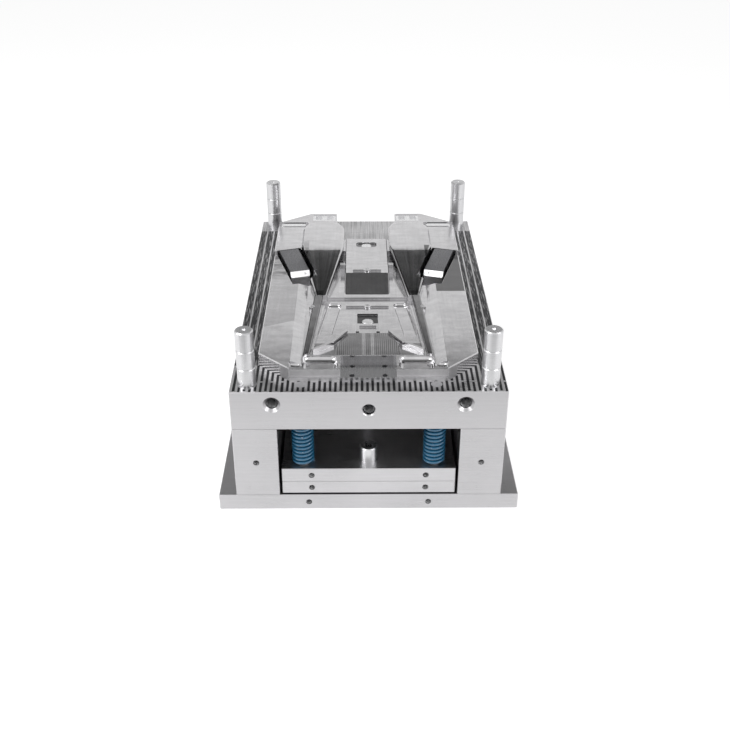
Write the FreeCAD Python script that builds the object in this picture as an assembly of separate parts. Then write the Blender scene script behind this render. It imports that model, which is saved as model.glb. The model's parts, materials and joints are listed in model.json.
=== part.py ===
import FreeCAD, Part
import math
import os

# Moving half of an injection mould: clamp plate, spacer blocks, ejector set with return springs,
# B plate with a sculpted core insert, two lifters and four guide pins.
# Millimetres. The origin is the centre of the clamp plate's underside, +Z is the opening direction
# and -Y is the operator's side, called the front below.

# ---- overall plates
base_width = 600.0
base_length = 950.0
clamp_plate_width = 680.0
clamp_plate_thickness = 40.0
spacer_width = 99.0
spacer_height = 178.0
b_plate_thickness = 96.0
plate_edge_chamfer = 1.5

# ---- ejector plates
ejector_side_gap = 6.0
ejector_plate_thickness = 32.0
retainer_plate_thickness = 35.0
stop_button_height = 5.0
stop_button_radius = 15.0
stop_button_side_inset = 20.0
stop_button_end_inset = 75.0
ejection_stroke = 70.0

# ---- round fits and clearances
running_clearance = 0.05
press_clearance = 0.02
screw_clearance = 0.5
relief_clearance = 0.5
thread_clearance = 0.05

# ---- guide pins, pressed into the B plate from below
guide_pin_radius = 20.0
guide_pin_shoulder = 1.0
guide_pin_reach = 134.0
guide_pin_side_inset = 37.0
guide_pin_end_inset = 34.0
guide_pin_head_overhang = 3.0
guide_pin_head_height = 8.0
guide_pin_tip_chamfer = 2.5
guide_pin_groove_depths = (45.0, 88.0)
guide_pin_groove_width = 3.5
guide_pin_groove_depth = 1.5
guide_pin_centre_radius = 4.5
guide_pin_centre_depth = 6.0

# ---- return pins and their flat-wire springs
return_pin_radius = 12.5
return_pin_side_inset = 48.0
return_pin_end_inset = 32.0
return_pin_head_overhang = 3.5
return_pin_head_height = 8.0
spring_pin_clearance = 0.7
spring_wire_width = 11.8
spring_wire_height = 5.0
spring_pitch = 9.4
spring_sides_per_turn = 12
spring_seat_depth = 25.0
spring_seat_clearance = 1.0

# ---- limit posts on the retainer plate
limit_post_radius = 20.0
limit_post_end_inset = 42.0
limit_post_edge_chamfer = 2.0
limit_post_recess_radius = 9.5
limit_post_recess_depth = 12.0
limit_screw_radius = 5.0
limit_screw_thread = 15.0
limit_thread_depth = 20.0

# ---- support pillars
pillar_radius = 25.0
pillar_clearance = 2.0
pillar_end_inset = 245.0
pillar_screw_radius = 8.0
pillar_thread_depth = 40.0

# ---- ejector guide pins and flanged bushes
ejector_guide_radius = 15.0
bush_wall = 6.0
ejector_guide_side_inset = 35.0
ejector_guide_end_inset = 185.0

# ---- ejector pins: places are given on the moulded form below
ejector_pin_radius = 5.0
ejector_pin_head_overhang = 3.0
ejector_pin_head_height = 6.0

# ---- cap screws
clamp_screw_radius = 10.0
clamp_screw_x_inset = 50.0
clamp_screw_end_inset = 115.0
clamp_screw_count = 3
clamp_screw_thread = 30.0
core_screw_radius = 8.0
core_screw_thread = 26.0
plate_screw_radius = 8.0
plate_screw_thread = 22.0
plate_screw_x = 65.0
plate_screw_end_inset = 55.0
wear_screw_radius = 4.0
wear_screw_head_height = 3.2
head_radius_ratio = 1.5
head_sink = 1.0
socket_ratio = 0.8
socket_sides = 6

# ---- threaded holes on the front and back faces
lift_hole_radius = 13.2
lift_hole_sink_radius = 19.4
lift_hole_depth = 54.0
lift_hole_guide_pin_gap = 53.5
lift_hole_drop = 32.0
centre_hole_sink_radius = 15.6
centre_hole_depth = 50.0
centre_hole_drop = 46.0
side_hole_radius = 7.0
side_hole_depth = 24.0
spacer_hole_drop = 88.6
ejector_hole_side_inset = 67.0
clamp_hole_x = 135.7

# ---- knock-out holes
knockout_radius = 25.0
knockout_thread_radius = 10.0

# ---- core insert: outline and levels above the B plate's top
core_side_margin = 56.0
core_front_margin = 46.0
core_back_margin = 54.0
core_seat_depth = 30.0
flat_height = 32.0
terrace_height = 45.0
plateau_height = 48.0
dome_height = 60.0
dome_tip_height = 36.0
ridge_front_height = 29.0
valley_height = 22.0
floor_height = 16.0
pad_height = 19.0
pocket_height = 13.0
rim_height = 26.0
shelf_height = 0.0

# The moulded form is laid out at this size and fitted to the core insert.
form_half_width = 244.0
form_length = 850.0
front_corner_x = 172.0
front_corner_run = 68.0
back_corner_x = 160.0
back_corner_run = 62.0
horn_x = 82.0
horn_y = 796.0
notch_x = 64.0
notch_y = 754.0
plateau_back_y = 663.0
plateau_front_y = 448.0
plateau_x = 56.0
slope_foot_y = 361.0
terrace_front_y = 590.0
bevel_top_x = 172.0
bevel_foot_x = 148.0
bevel_front_y = 10.0
bevel_foot_front_y = 34.0
bevel_foot_back_y = 574.0
core_edge_chamfer = 2.0

dome_inner_x = 60.0
dome_outer_x = 172.0
dome_back_y = 757.0
dome_back_radius = 50.0
dome_shoulder_y = 590.0
dome_brow_y = 569.0
dome_tip_x = 113.0
dome_tip_y = 345.0
dome_tip_half_width = 14.0
dome_shoulder_radius = 70.0
dome_brow_radius = 120.0
dome_edge_radius = 7.0

ridge_back_x = 118.0
ridge_back_y = 366.0
ridge_front_x = 139.0
ridge_front_y = 60.0
ridge_back_half_width = 11.0
ridge_front_half_width = 8.0
ridge_edge_radius = 5.0

floor_back_x = 100.0
floor_front_x = 126.0
floor_front_y = 75.0
pad_front_y = 74.0
pad_back_y = 183.0
pad_front_x = 74.0
pad_back_x = 47.0
pad_bulge = 8.0
border_rib_width = 6.0
border_rib_bend_x = 78.0
border_rib_bend_y = 128.0
border_rib_end_x = 124.0
border_rib_end_y = 92.0
bridge_inner_x = 50.0
bridge_outer_x = 68.0
bridge_y = 508.0
bridge_width = 12.0
trough_back_y = 340.0
trough_front_y = 172.0
trough_back_inner_x = 62.0
trough_back_outer_x = 96.0
trough_front_inner_x = 84.0
trough_front_outer_x = 118.0
trough_height = 10.0
trough_corner_radius = 12.0
trough_floor_radius = 5.0

pocket_inner_x = 67.0
pocket_outer_x = 146.0
pocket_front_y = 7.0
pocket_back_y = 70.0
pocket_corner_radius = 16.0
pocket_floor_radius = 11.0
front_step_run = 5.0
front_step_height = 9.0
scoop_x = 159.0
scoop_y = 24.0
scoop_length = 17.0
scoop_width = 9.0
scoop_depth = 11.0

rib_width = 7.0
rib_height = 5.0
rib_boss_radius = 9.0
front_rib_y = 321.0
front_rib_half_length = 52.0
rear_rib_y = 460.0
rear_rib_half_length = 36.0
bracket_half_width = 28.0
bracket_bar_y = 224.0
bracket_front_y = 187.0
bracket_wall = 8.0

# ---- gate inserts and their pockets
gate_radius = 13.0
gate_depth = 20.0
gate_proud = 1.5
gate_edge_chamfer = 1.0
front_gate_y = 253.0
front_gate_pocket_half_width = 25.0
front_gate_pocket_front = 18.0
front_gate_pocket_back = 32.0
front_gate_pocket_depth = 5.0
rear_gate_y = 624.0
rear_gate_pocket_half_width = 27.0
rear_gate_pocket_half_length = 15.0
rear_gate_pocket_depth = 4.0
rear_gate_pocket_corner_radius = 7.5

# ---- wear plate in front, lock plates and wear strips behind
wear_plate_thickness = 8.0
wear_plate_half_width = 62.0
wear_plate_back_y = 73.0
wear_screw_x = 36.0
wear_screw_front_y = 10.0
wear_screw_back_y = 50.0
lock_plate_inner_x = 86.0
lock_plate_outer_x = 149.0
lock_plate_front_y = 799.0
lock_plate_back_y = 845.0
lock_plate_thickness = 12.0
lock_plate_sink = 2.0
lock_slot_length = 30.0
lock_slot_width = 18.0
lock_slot_depth = 5.0
strip_inner_x = 168.0
strip_outer_x = 236.0
strip_y = 770.0
strip_width = 18.0
strip_groove_width = 34.0
strip_groove_depth = 6.0
strip_groove_lead = 7.0
strip_thickness = 5.0
strip_end_ratio = 0.45

# ---- ejector pins on the form: mirrored pairs as (x, y, level), and one in the boss of each cross rib
ejector_pin_pairs = ((131.0, 462.0, 38.0), (132.0, 290.0, 34.0))
ejector_boss_radius = 8.0

# ---- core screws on the form, as (x, y)
core_screw_places = ((185.0, 104.0), (185.0, 320.0), (112.0, 806.0))

# ---- lifters
lifter_turn = 16.0
lifter_tilt = 5.0
lifter_front_x = 169.0
lifter_front_y = 470.0
lifter_width = 50.0
lifter_length = 136.0
lifter_rear_height = 44.0
lifter_front_height = 39.0
lifter_nose_run = 9.0
lifter_nose_drop = 13.0
lifter_bottom = -10.0
lifter_side_gap = 7.0
lifter_rear_gap = 1.0
lifter_seat_gap = 0.2
lifter_nose_room = 48.0
lifter_corner_radius = 3.0
lifter_eject_hole_radius = 3.0
lifter_eject_hole_depth = 6.0
lifter_rod_radius = 7.0
lifter_rod_side_offset = 16.0
lifter_rod_back_offset = 24.0
foot_width = 22.0
foot_length = 26.0
foot_height = 10.0
foot_clearance = 0.3
shoe_width = 34.0
shoe_length = 50.0
shoe_base = 8.0
shoe_lip = 8.0
shoe_pocket_clearance = 0.5

# ---- derived levels and places
clamp_top = clamp_plate_thickness
spacer_top = clamp_top + spacer_height
b_plate_top = spacer_top + b_plate_thickness
ejector_bottom = clamp_top + stop_button_height
retainer_bottom = ejector_bottom + ejector_plate_thickness
retainer_top = retainer_bottom + retainer_plate_thickness
limit_post_height = spacer_top - retainer_top - ejection_stroke
half_width = base_width / 2
half_length = base_length / 2
box_half_width = half_width - spacer_width
ejector_half_width = box_half_width - ejector_side_gap
ejector_guide_foot = clamp_top / 2
spring_top = spacer_top + spring_seat_depth
spring_inner_radius = return_pin_radius + spring_pin_clearance
spring_outer_radius = spring_inner_radius + spring_wire_width
return_pin_head_radius = return_pin_radius + return_pin_head_overhang
guide_pin_shank_radius = guide_pin_radius + guide_pin_shoulder
guide_pin_head_radius = guide_pin_shank_radius + guide_pin_head_overhang
ejector_pin_head_radius = ejector_pin_radius + ejector_pin_head_overhang
bush_radius = ejector_guide_radius + bush_wall
lift_hole_x = half_width - guide_pin_side_inset - lift_hole_guide_pin_gap
ejector_hole_x = ejector_half_width - ejector_hole_side_inset
core_half_width = half_width - core_side_margin
core_front = -half_length + core_front_margin
core_back = half_length - core_back_margin
core_length = core_back - core_front
core_bottom = b_plate_top - core_seat_depth
through = 1.0
tiny = 1e-3


# ---- placing helpers
def form_x(x):
    return x * core_half_width / form_half_width


def form_y(y):
    return core_front + y * core_length / form_length


def level(height):
    return b_plate_top + height


def block(x0, x1, y0, y1, z0, z1):
    return Part.makeBox(x1 - x0, y1 - y0, z1 - z0, FreeCAD.Vector(x0, y0, z0))


def form_block(x0, x1, y0, y1, height0, height1):
    return block(form_x(x0), form_x(x1), form_y(y0), form_y(y1), level(height0), level(height1))


def rod(radius, x, y, z0, z1):
    return Part.makeCylinder(radius, z1 - z0, FreeCAD.Vector(x, y, z0))


def polygon(points, z):
    corners = [FreeCAD.Vector(x, y, z) for x, y in points]
    return Part.makePolygon(corners + corners[:1])


def prism(points, z0, z1):
    return Part.Face(polygon(points, z0)).extrude(FreeCAD.Vector(0, 0, z1 - z0))


def form_points(points):
    return [(form_x(x), form_y(y)) for x, y in points]


def mirrored(shape):
    return shape.mirror(FreeCAD.Vector(0, 0, 0), FreeCAD.Vector(1, 0, 0))


def both_sides(shape):
    return [shape, mirrored(shape)]


def four_places(x, y):
    return [(sx * x, sy * y) for sx in (-1, 1) for sy in (-1, 1)]


def vertical(edge):
    first, last = edge.firstVertex().Point, edge.lastVertex().Point
    return abs(first.x - last.x) + abs(first.y - last.y) < tiny


def chamfered(shape):
    """A plate with all its edges broken."""
    return shape.makeChamfer(plate_edge_chamfer, shape.Edges)


def save(node, shapes):
    pieces = [solid for shape in shapes for solid in shape.Solids]
    whole = pieces[0] if len(pieces) == 1 else Part.makeCompound(pieces)
    whole.exportStep(os.path.join("parts", node + ".step"))


# ---- fasteners
def cap_screw(radius, length, x, y, z):
    """A socket head cap screw standing up from its head's underside at z, head down."""
    head_height = 2 * radius
    head = rod(head_radius_ratio * radius, x, y, z - head_height, z)
    shank = rod(radius, x, y, z, z + length)
    reach = socket_ratio * radius
    turns = [2 * math.pi * i / socket_sides for i in range(socket_sides)]
    corners = [(x + reach * math.cos(turn), y + reach * math.sin(turn)) for turn in turns]
    socket = prism(corners, z - head_height, z - head_height / 2)
    return head.fuse(shank).removeSplitter().cut(socket)


def screw_hole(radius, x, y, bottom, seat, top):
    """Counterbore and clearance hole for a cap screw put in from below."""
    head = rod(head_radius_ratio * radius + screw_clearance, x, y, bottom - through, seat)
    shank = rod(radius + screw_clearance, x, y, seat - through, top + through)
    return [head, shank]


def face_hole(radius, x, z, depth, sink_radius=0.0):
    """One blind hole in the front face and its twin in the back face, with an optional countersink."""
    holes = []
    for y, inward in ((-half_length, 1), (half_length, -1)):
        direction = FreeCAD.Vector(0, inward, 0)
        holes.append(Part.makeCylinder(radius, depth, FreeCAD.Vector(x, y, z), direction))
        if sink_radius > radius:
            sink = sink_radius - radius
            holes.append(Part.makeCone(sink_radius, radius, sink, FreeCAD.Vector(x, y, z), direction))
    return holes


# ---- places shared by the plates
def guide_pin_places():
    return four_places(half_width - guide_pin_side_inset, half_length - guide_pin_end_inset)


def return_pin_places():
    return four_places(ejector_half_width - return_pin_side_inset, half_length - return_pin_end_inset)


def ejector_guide_places():
    return four_places(ejector_half_width - ejector_guide_side_inset,
                       half_length - ejector_guide_end_inset)


def pillar_places():
    return [(0, sy * (half_length - pillar_end_inset)) for sy in (-1, 1)]


def limit_post_places():
    return [(0, sy * (half_length - limit_post_end_inset)) for sy in (-1, 1)]


def stop_button_places():
    x = ejector_half_width - stop_button_side_inset
    return four_places(x, half_length - stop_button_end_inset) + [(-x, 0), (x, 0)]


def plate_screw_places():
    ends = four_places(plate_screw_x, half_length - plate_screw_end_inset)
    return ends + [(-plate_screw_x, 0), (plate_screw_x, 0)]


def clamp_screw_places():
    x = half_width - clamp_screw_x_inset
    y = half_length - clamp_screw_end_inset
    steps = clamp_screw_count - 1
    return [(sx * x, -y + 2 * y * i / steps) for sx in (-1, 1) for i in range(clamp_screw_count)]


def core_screws_at():
    return [(sx * form_x(x), form_y(y)) for sx in (-1, 1) for x, y in core_screw_places]


def ejector_pins_at():
    pairs = [(sx * form_x(x), form_y(y), h) for sx in (-1, 1) for x, y, h in ejector_pin_pairs]
    return pairs + [(0, form_y(front_rib_y), floor_height + rib_height),
                    (0, form_y(rear_rib_y), plateau_height + rib_height)]


def wear_screws_at():
    return [(sx * form_x(wear_screw_x), form_y(y)) for sx in (-1, 1)
            for y in (wear_screw_front_y, wear_screw_back_y)]


# ---- clamp plate and spacers
def clamp_screw_seat():
    return 2 * clamp_screw_radius + head_sink


def pillar_screw_seat():
    return 2 * pillar_screw_radius + head_sink


def clamp_plate():
    half = clamp_plate_width / 2
    plate = chamfered(block(-half, half, -half_length, half_length, 0, clamp_top))
    cuts = [rod(knockout_radius, 0, 0, -through, clamp_top + through)]
    for x, y in clamp_screw_places():
        cuts += screw_hole(clamp_screw_radius, x, y, 0, clamp_screw_seat(), clamp_top)
    for x, y in pillar_places():
        cuts += screw_hole(pillar_screw_radius, x, y, 0, pillar_screw_seat(), clamp_top)
    for x, y in ejector_guide_places():
        cuts.append(rod(ejector_guide_radius + press_clearance, x, y,
                        ejector_guide_foot, clamp_top + through))
    for sx in (-1, 1):
        cuts += face_hole(side_hole_radius, sx * clamp_hole_x, clamp_top / 2, side_hole_depth)
    return plate.cut(cuts)


def spacer_block():
    plate = chamfered(block(box_half_width, half_width, -half_length, half_length, clamp_top, spacer_top))
    cuts = []
    for x, y in clamp_screw_places():
        if x > 0:
            cuts.append(rod(clamp_screw_radius + screw_clearance, x, y,
                            clamp_top - through, spacer_top + through))
    cuts += face_hole(side_hole_radius, (box_half_width + half_width) / 2, spacer_top - spacer_hole_drop,
                      side_hole_depth)
    return plate.cut(cuts)


def clamp_screws():
    length = spacer_top + clamp_screw_thread - clamp_screw_seat()
    return [cap_screw(clamp_screw_radius, length, x, y, clamp_screw_seat())
            for x, y in clamp_screw_places()]


def stop_buttons():
    return [rod(stop_button_radius, x, y, clamp_top, ejector_bottom) for x, y in stop_button_places()]


def support_pillars():
    pillars = []
    for x, y in pillar_places():
        thread = rod(pillar_screw_radius + thread_clearance, x, y,
                     clamp_top, clamp_top + pillar_thread_depth)
        pillars.append(rod(pillar_radius, x, y, clamp_top, spacer_top).cut(thread))
    return pillars


def pillar_screws():
    length = clamp_top + pillar_thread_depth - through - pillar_screw_seat()
    return [cap_screw(pillar_screw_radius, length, x, y, pillar_screw_seat()) for x, y in pillar_places()]


# ---- ejector set
def ejector_guide_pins():
    return [rod(ejector_guide_radius, x, y, ejector_guide_foot, spacer_top)
            for x, y in ejector_guide_places()]


def ejector_guide_bushes():
    bushes = []
    for x, y in ejector_guide_places():
        bore = rod(ejector_guide_radius + running_clearance, x, y,
                   ejector_bottom - through, retainer_top + through)
        bushes.append(rod(bush_radius, x, y, ejector_bottom, retainer_top).cut(bore))
    return bushes


def plate_screw_seat():
    return ejector_bottom + 2 * plate_screw_radius + head_sink


def ejector_plate():
    plate = chamfered(block(-ejector_half_width, ejector_half_width, -half_length, half_length,
                            ejector_bottom, retainer_bottom))
    below, above = ejector_bottom - through, retainer_bottom + through
    cuts = [rod(knockout_thread_radius, 0, 0, below, above)]
    for x, y in pillar_places():
        cuts.append(rod(pillar_radius + pillar_clearance, x, y, below, above))
    for x, y in ejector_guide_places():
        cuts.append(rod(bush_radius + press_clearance, x, y, below, above))
    for x, y in plate_screw_places():
        cuts += screw_hole(plate_screw_radius, x, y, ejector_bottom, plate_screw_seat(), retainer_bottom)
    for sx in (-1, 1):
        cuts += face_hole(side_hole_radius, sx * ejector_hole_x, (ejector_bottom + retainer_bottom) / 2,
                          side_hole_depth)
    return plate.cut(cuts)


def ejector_retainer_plate():
    plate = chamfered(block(-ejector_half_width, ejector_half_width, -half_length, half_length,
                            retainer_bottom, retainer_top))
    below, above = retainer_bottom - through, retainer_top + through
    cuts = []
    for x, y in pillar_places():
        cuts.append(rod(pillar_radius + pillar_clearance, x, y, below, above))
    for x, y in ejector_guide_places():
        cuts.append(rod(bush_radius + press_clearance, x, y, below, above))
    for x, y in return_pin_places():
        cuts.append(rod(return_pin_radius + relief_clearance, x, y, below, above))
        cuts.append(rod(return_pin_head_radius + relief_clearance, x, y, below,
                        retainer_bottom + return_pin_head_height))
    for x, y, height in ejector_pins_at():
        cuts.append(rod(ejector_pin_radius + relief_clearance, x, y, below, above))
        cuts.append(rod(ejector_pin_head_radius + relief_clearance, x, y, below,
                        retainer_bottom + ejector_pin_head_height))
    for x, y in plate_screw_places():
        cuts.append(rod(plate_screw_radius + thread_clearance, x, y, below,
                        retainer_bottom + plate_screw_thread))
    for x, y in limit_post_places():
        cuts.append(rod(limit_screw_radius + thread_clearance, x, y,
                        retainer_top - limit_thread_depth, above))
    cuts += both_sides(shoe_pocket())
    for sx in (-1, 1):
        cuts += face_hole(side_hole_radius, sx * ejector_hole_x, (retainer_bottom + retainer_top) / 2,
                          side_hole_depth)
    return plate.cut(cuts)


def ejector_plate_screws():
    length = retainer_bottom + plate_screw_thread - through - plate_screw_seat()
    return [cap_screw(plate_screw_radius, length, x, y, plate_screw_seat())
            for x, y in plate_screw_places()]


def return_pins():
    pins = []
    for x, y in return_pin_places():
        shank = rod(return_pin_radius, x, y, retainer_bottom, b_plate_top)
        head = rod(return_pin_head_radius, x, y, retainer_bottom, retainer_bottom + return_pin_head_height)
        pins.append(shank.fuse(head).removeSplitter())
    return pins


def limit_posts():
    posts = []
    for x, y in limit_post_places():
        top = retainer_top + limit_post_height
        post = rod(limit_post_radius, x, y, retainer_top, top)
        rim = [edge for edge in post.Edges if edge.BoundBox.ZMin > top - tiny]
        post = post.makeChamfer(limit_post_edge_chamfer, rim)
        recess = rod(limit_post_recess_radius, x, y, top - limit_post_recess_depth, top + through)
        shank = rod(limit_screw_radius + screw_clearance, x, y, retainer_top - through, top)
        posts.append(post.cut([recess, shank]))
    return posts


def limit_post_screws():
    screws = []
    for x, y in limit_post_places():
        seat = retainer_top + limit_post_height - limit_post_recess_depth
        reach = seat - retainer_top + limit_screw_thread
        screw = cap_screw(limit_screw_radius, reach, 0, 0, 0)
        screw.rotate(FreeCAD.Vector(0, 0, 0), FreeCAD.Vector(1, 0, 0), 180)
        screw.translate(FreeCAD.Vector(x, y, seat))
        screws.append(screw)
    return screws


def ejector_pins():
    pins = []
    for x, y, height in ejector_pins_at():
        shank = rod(ejector_pin_radius, x, y, retainer_bottom, level(height))
        head = rod(ejector_pin_head_radius, x, y, retainer_bottom, retainer_bottom + ejector_pin_head_height)
        pins.append(shank.fuse(head).removeSplitter())
    return pins


# ---- return springs: flat wire wound into straight runs, with both ends ground flat
def spring_section(angle, z):
    """The wire's rectangular section at one turn angle, its foot at height z."""
    c, s = math.cos(angle), math.sin(angle)
    inner, outer = spring_inner_radius, spring_outer_radius
    corners = [FreeCAD.Vector(inner * c, inner * s, z), FreeCAD.Vector(outer * c, outer * s, z)]
    top = FreeCAD.Vector(0, 0, spring_wire_height)
    ring = corners + [corner + top for corner in reversed(corners)]
    return ring


def spring_skin(rings):
    """Ruled faces along the coil and the two end caps."""
    faces = []
    for ring, following in zip(rings, rings[1:]):
        for i in range(4):
            j = (i + 1) % 4
            edge = Part.makeLine(ring[i], ring[j])
            next_edge = Part.makeLine(following[i], following[j])
            faces.append(Part.makeRuledSurface(edge, next_edge))
    for ring in (rings[0], rings[-1]):
        faces.append(Part.Face(Part.makePolygon(ring + ring[:1])))
    return faces


def return_spring():
    """One spring about the Z axis between the retainer plate and its seat in the B plate."""
    height = spring_top - retainer_top
    turns = height / spring_pitch
    count = int(round(turns * spring_sides_per_turn))
    rings = []
    for i in range(count + 1):
        angle = 2 * math.pi * i / spring_sides_per_turn
        z = retainer_top - spring_wire_height / 2 + i * height / count
        rings.append(spring_section(angle, z))
    coil = Part.makeSolid(Part.makeShell(spring_skin(rings)))
    reach = spring_outer_radius + through
    slab = block(-reach, reach, -reach, reach, retainer_top, spring_top)
    return coil.common(slab)


def return_springs():
    coil = return_spring()
    springs = []
    for x, y in return_pin_places():
        spring = coil.copy()
        spring.translate(FreeCAD.Vector(x, y, 0))
        springs.append(spring)
    return springs


# ---- B plate and guide pins
def core_outline():
    """The core insert's outline: cut corners in front, horns either side of a notch behind."""
    right = [
        (front_corner_x, 0),
        (form_half_width, front_corner_run),
        (form_half_width, form_length - back_corner_run),
        (back_corner_x, form_length),
        (horn_x, form_length),
        (horn_x, horn_y),
        (notch_x, notch_y),
        (notch_x, plateau_back_y),
    ]
    left = [(-x, y) for x, y in reversed(right)]
    return form_points(right + left)


def b_plate():
    plate = chamfered(block(-half_width, half_width, -half_length, half_length, spacer_top, b_plate_top))
    below, above = spacer_top - through, b_plate_top + through
    cuts = [prism(core_outline(), core_bottom, above)]
    for x, y in guide_pin_places():
        cuts.append(rod(guide_pin_shank_radius + press_clearance, x, y, below, above))
        cuts.append(rod(guide_pin_head_radius + relief_clearance, x, y, below,
                        spacer_top + guide_pin_head_height))
    for x, y in return_pin_places():
        cuts.append(rod(return_pin_radius + running_clearance, x, y, below, above))
        cuts.append(rod(spring_outer_radius + spring_seat_clearance, x, y, below, spring_top))
    for x, y, height in ejector_pins_at():
        cuts.append(rod(ejector_pin_radius + relief_clearance, x, y, below, core_bottom + through))
    for x, y in core_screws_at():
        cuts += screw_hole(core_screw_radius, x, y, spacer_top, core_screw_seat(), core_bottom)
    for x, y in clamp_screw_places():
        cuts.append(rod(clamp_screw_radius + thread_clearance, x, y, below,
                        spacer_top + clamp_screw_thread + through))
    cuts += both_sides(lifter_rod_bore())
    for sx in (-1, 1):
        cuts += face_hole(lift_hole_radius, sx * lift_hole_x, b_plate_top - lift_hole_drop, lift_hole_depth,
                          lift_hole_sink_radius)
    cuts += face_hole(lift_hole_radius, 0, b_plate_top - centre_hole_drop, centre_hole_depth,
                      centre_hole_sink_radius)
    return plate.cut(cuts)


def guide_pins():
    """Shouldered pins with two oil grooves, a chamfered tip and a centre hole."""
    top = b_plate_top + guide_pin_reach
    r, inner = guide_pin_radius, guide_pin_radius - guide_pin_groove_depth
    head, head_top = guide_pin_head_radius, spacer_top + guide_pin_head_height
    profile = [(0, spacer_top), (head, spacer_top), (head, head_top), (guide_pin_shank_radius, head_top),
               (guide_pin_shank_radius, b_plate_top), (r, b_plate_top)]
    for depth in reversed(guide_pin_groove_depths):
        low, half = top - depth - guide_pin_groove_width, guide_pin_groove_width / 2
        profile += [(r, low), (inner, low + half), (r, low + 2 * half)]
    profile += [(r, top - guide_pin_tip_chamfer), (r - guide_pin_tip_chamfer, top),
                (guide_pin_centre_radius, top), (0, top - guide_pin_centre_depth)]
    outline = [FreeCAD.Vector(x, 0, z) for x, z in profile]
    face = Part.Face(Part.makePolygon(outline + outline[:1]))
    pin = face.revolve(FreeCAD.Vector(0, 0, 0), FreeCAD.Vector(0, 0, 1), 360)
    pins = []
    for x, y in guide_pin_places():
        copy = pin.copy()
        copy.translate(FreeCAD.Vector(x, y, 0))
        pins.append(copy)
    return pins


# ---- core insert
def core_screw_seat():
    return spacer_top + 2 * core_screw_radius + head_sink


def core_screws():
    length = core_bottom + core_screw_thread - through - core_screw_seat()
    return [cap_screw(core_screw_radius, length, x, y, core_screw_seat()) for x, y in core_screws_at()]


def dome():
    """The right-hand dome: a tear-drop column with a sloping brow in front and a rolled edge."""
    plan = [
        (dome_inner_x, dome_back_y), (dome_outer_x, dome_back_y), (dome_outer_x, dome_shoulder_y),
        (dome_tip_x + dome_tip_half_width, dome_tip_y), (dome_tip_x - dome_tip_half_width, dome_tip_y),
        (dome_inner_x, dome_shoulder_y),
    ]
    column = prism(form_points(plan), level(0), level(dome_height))
    columns = [edge for edge in column.Edges if vertical(edge)]
    back = [edge for edge in columns if edge.CenterOfMass.y > form_y(dome_back_y) - through]
    column = column.makeFillet(dome_back_radius, back)
    shoulders = [edge for edge in column.Edges
                 if vertical(edge) and abs(edge.CenterOfMass.y - form_y(dome_shoulder_y)) < through]
    column = column.makeFillet(dome_shoulder_radius, shoulders)
    brow = [(form_y(dome_tip_y) - through, level(dome_tip_height)),
            (form_y(dome_brow_y), level(dome_height)),
            (form_y(dome_brow_y), level(dome_height) + through),
            (form_y(dome_tip_y) - through, level(dome_height) + through)]
    outline = [FreeCAD.Vector(0, y, z) for y, z in brow]
    wedge = Part.Face(Part.makePolygon(outline + outline[:1]))
    column = column.cut(wedge.extrude(FreeCAD.Vector(core_half_width, 0, 0)))
    brow_edge = [edge for edge in column.Edges
                 if abs(edge.CenterOfMass.y - form_y(dome_brow_y)) < through
                 and abs(edge.CenterOfMass.z - level(dome_height)) < tiny]
    column = column.makeFillet(dome_brow_radius, brow_edge)
    floor = level(dome_tip_height) - through
    rim = [edge for edge in column.Edges if edge.BoundBox.ZMin > floor and not vertical(edge)
           and not across(edge)]
    return column.makeFillet(dome_edge_radius, rim)


def across(edge):
    """True for a straight edge that runs along X."""
    box = edge.BoundBox
    return box.YLength < tiny and box.ZLength < tiny


def ridge():
    """The long ridge that runs from the dome's tip down to the front corner."""
    back, front = ridge_back_half_width, ridge_front_half_width
    plan = form_points([
        (ridge_back_x - back, ridge_back_y), (ridge_back_x + back, ridge_back_y),
        (ridge_front_x + front, ridge_front_y), (ridge_front_x - front, ridge_front_y),
    ])
    body = prism(plan, level(0), level(dome_tip_height))
    y0, y1 = form_y(ridge_front_y) - through, form_y(ridge_back_y) + through
    outline = [FreeCAD.Vector(0, y0, level(ridge_front_height)),
               FreeCAD.Vector(0, y1, level(dome_tip_height)),
               FreeCAD.Vector(0, y1, level(dome_height)),
               FreeCAD.Vector(0, y0, level(dome_height))]
    above = Part.Face(Part.makePolygon(outline + outline[:1]))
    body = body.cut(above.extrude(FreeCAD.Vector(core_half_width, 0, 0)))
    long_edges = [edge for edge in body.Edges
                  if edge.BoundBox.ZMin > level(floor_height) and edge.BoundBox.YLength > (y1 - y0) / 2]
    return body.makeFillet(ridge_edge_radius, long_edges)


def frustum(low_points, z0, high_points, z1):
    return Part.makeLoft([polygon(low_points, z0), polygon(high_points, z1)], True, True)


def form_hollow():
    """The tapered hollow between the parting flats."""
    low = form_points([(-bevel_foot_x, bevel_foot_front_y), (bevel_foot_x, bevel_foot_front_y),
                       (bevel_foot_x, bevel_foot_back_y), (-bevel_foot_x, bevel_foot_back_y)])
    high = form_points([(-bevel_top_x, bevel_front_y), (bevel_top_x, bevel_front_y),
                        (bevel_top_x, terrace_front_y), (-bevel_top_x, terrace_front_y)])
    return frustum(low, level(valley_height), high, level(flat_height))


def centre_floor():
    """The lower floor between the two ridges, wider in front."""
    right = [(floor_front_x, floor_front_y), (floor_back_x, slope_foot_y)]
    left = [(-x, y) for x, y in reversed(right)]
    return prism(form_points(right + left), level(floor_height), level(dome_height))


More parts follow.
